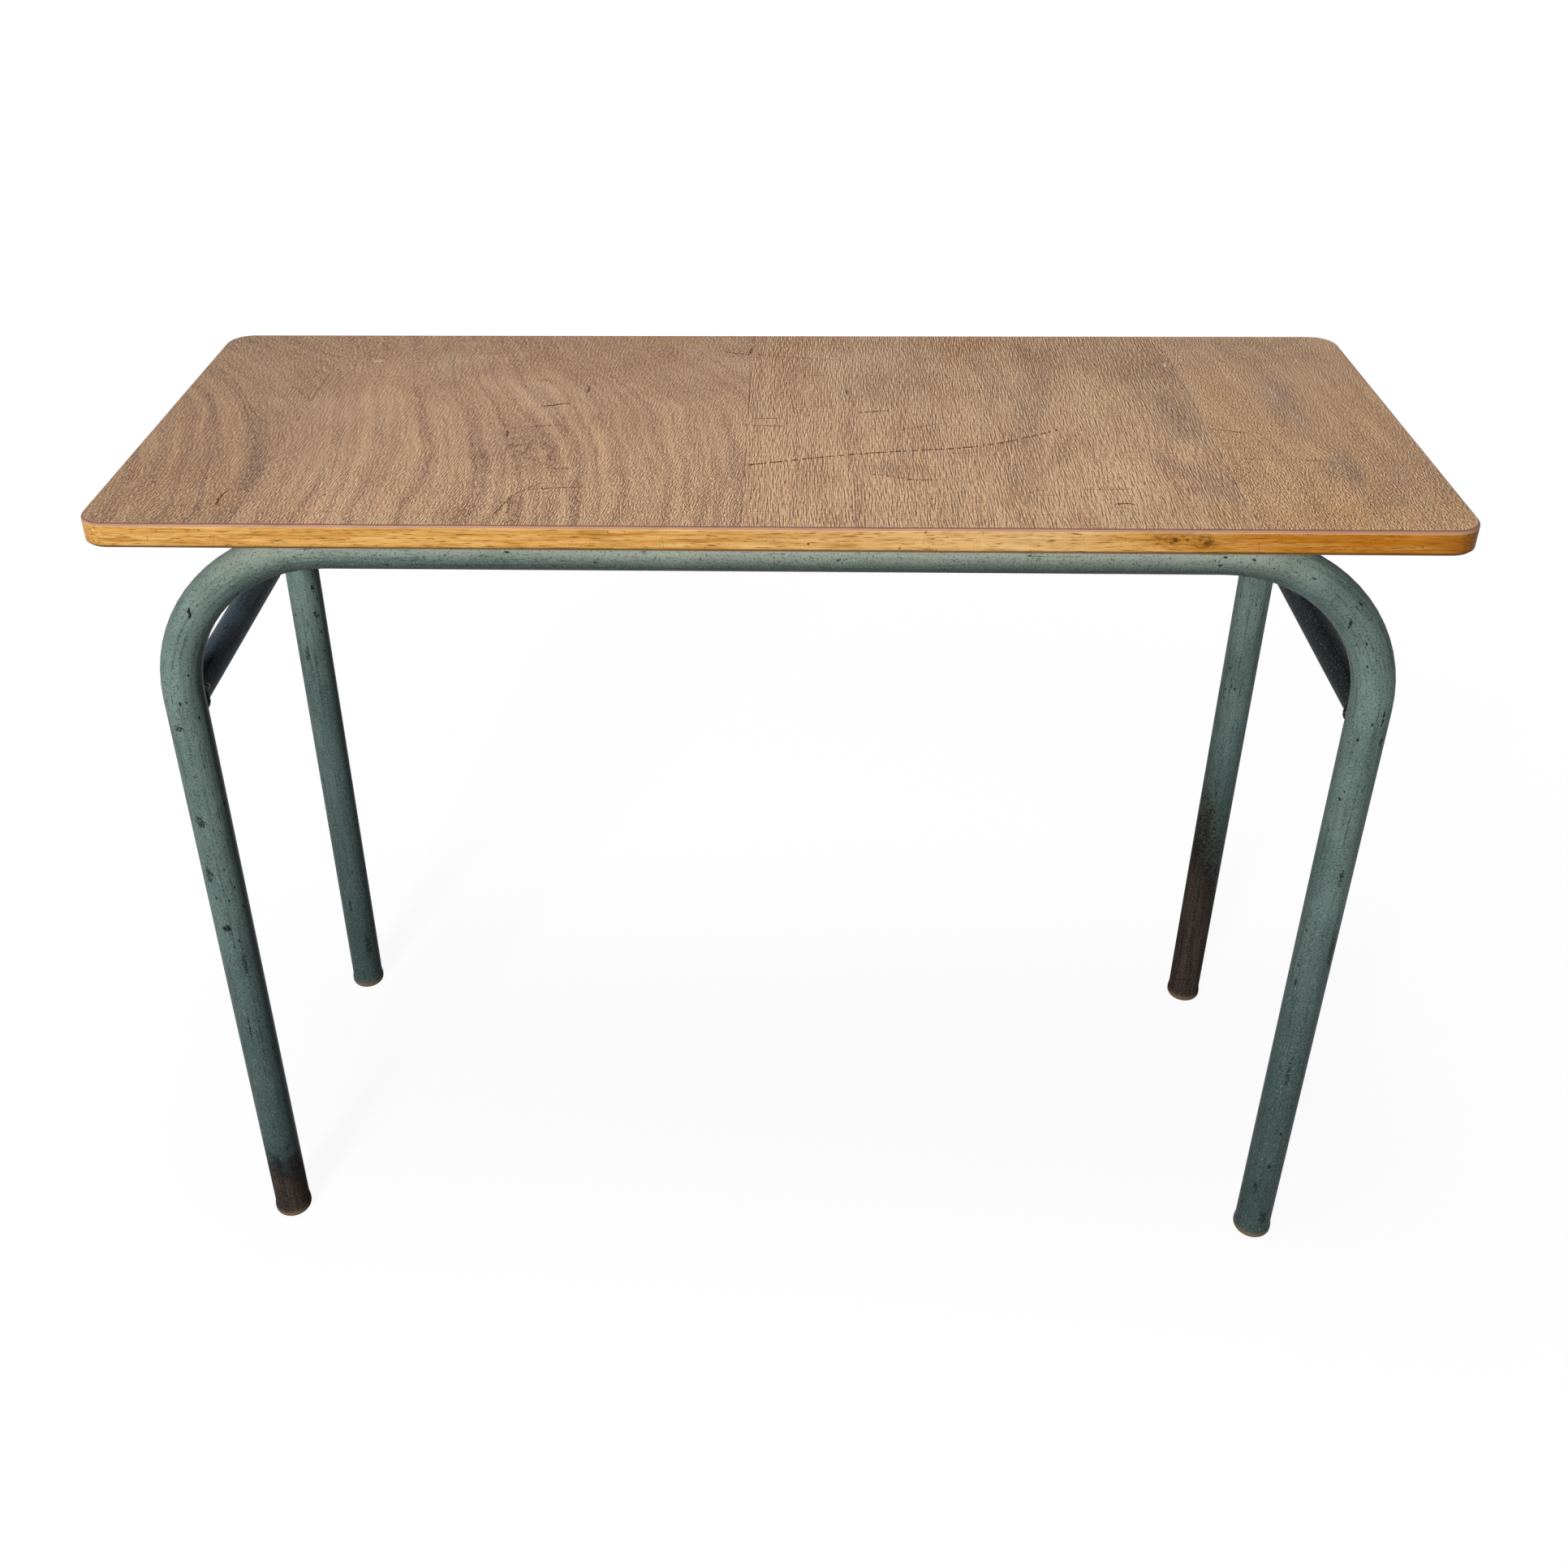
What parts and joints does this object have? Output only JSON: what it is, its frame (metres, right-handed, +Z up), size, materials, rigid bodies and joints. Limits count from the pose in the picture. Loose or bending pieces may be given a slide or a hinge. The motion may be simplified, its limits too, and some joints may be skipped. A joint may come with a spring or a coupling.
{
  "type": "school desk",
  "caption": "School desk with a veneered, wood-lipped rectangular top on two bent tube arches joined by a straight crossbar at each end.",
  "frame": {"origin": "on the floor under the middle of the top", "axes": "+X along the front edge to the right as seen by the person seated at the front, +Y from the front edge to the rear, +Z up"},
  "size_m": [1, 0.4, 0.75],
  "materials": {
    "core_board": "raw laminated softwood core",
    "face_veneer": "worn satin varnish on oak veneer",
    "underside_veneer": "raw sanded backing veneer",
    "lipping_wood": "amber varnished solid beech",
    "tube_enamel": "satin grey-green enamel with chips and rust",
    "weld_enamel": "enamel over a rippled weld",
    "glide_metal": "worn enamel on pressed steel",
    "screw_steel": "dull oxidised steel"
  },
  "bodies": {
    "root": {"top_core_panel": "core_board", "face_veneer_leaf_1": "face_veneer", "face_veneer_leaf_2": "face_veneer", "face_veneer_leaf_3": "face_veneer", "face_veneer_leaf_4": "face_veneer", "underside_veneer": "underside_veneer", "front_lipping": "lipping_wood", "rear_lipping": "lipping_wood", "left_lipping": "lipping_wood", "right_lipping": "lipping_wood", "front_arch_tube": "tube_enamel", "rear_arch_tube": "tube_enamel", "left_crossbar": "tube_enamel", "right_crossbar": "tube_enamel", "front_left_weld_bead": "weld_enamel", "front_right_weld_bead": "weld_enamel", "rear_left_weld_bead": "weld_enamel", "rear_right_weld_bead": "weld_enamel", "front_left_glide": "glide_metal", "front_right_glide": "glide_metal", "rear_left_glide": "glide_metal", "rear_right_glide": "glide_metal", "front_tube_screws": "screw_steel", "rear_tube_screws": "screw_steel"}
  },
  "joints": []
}
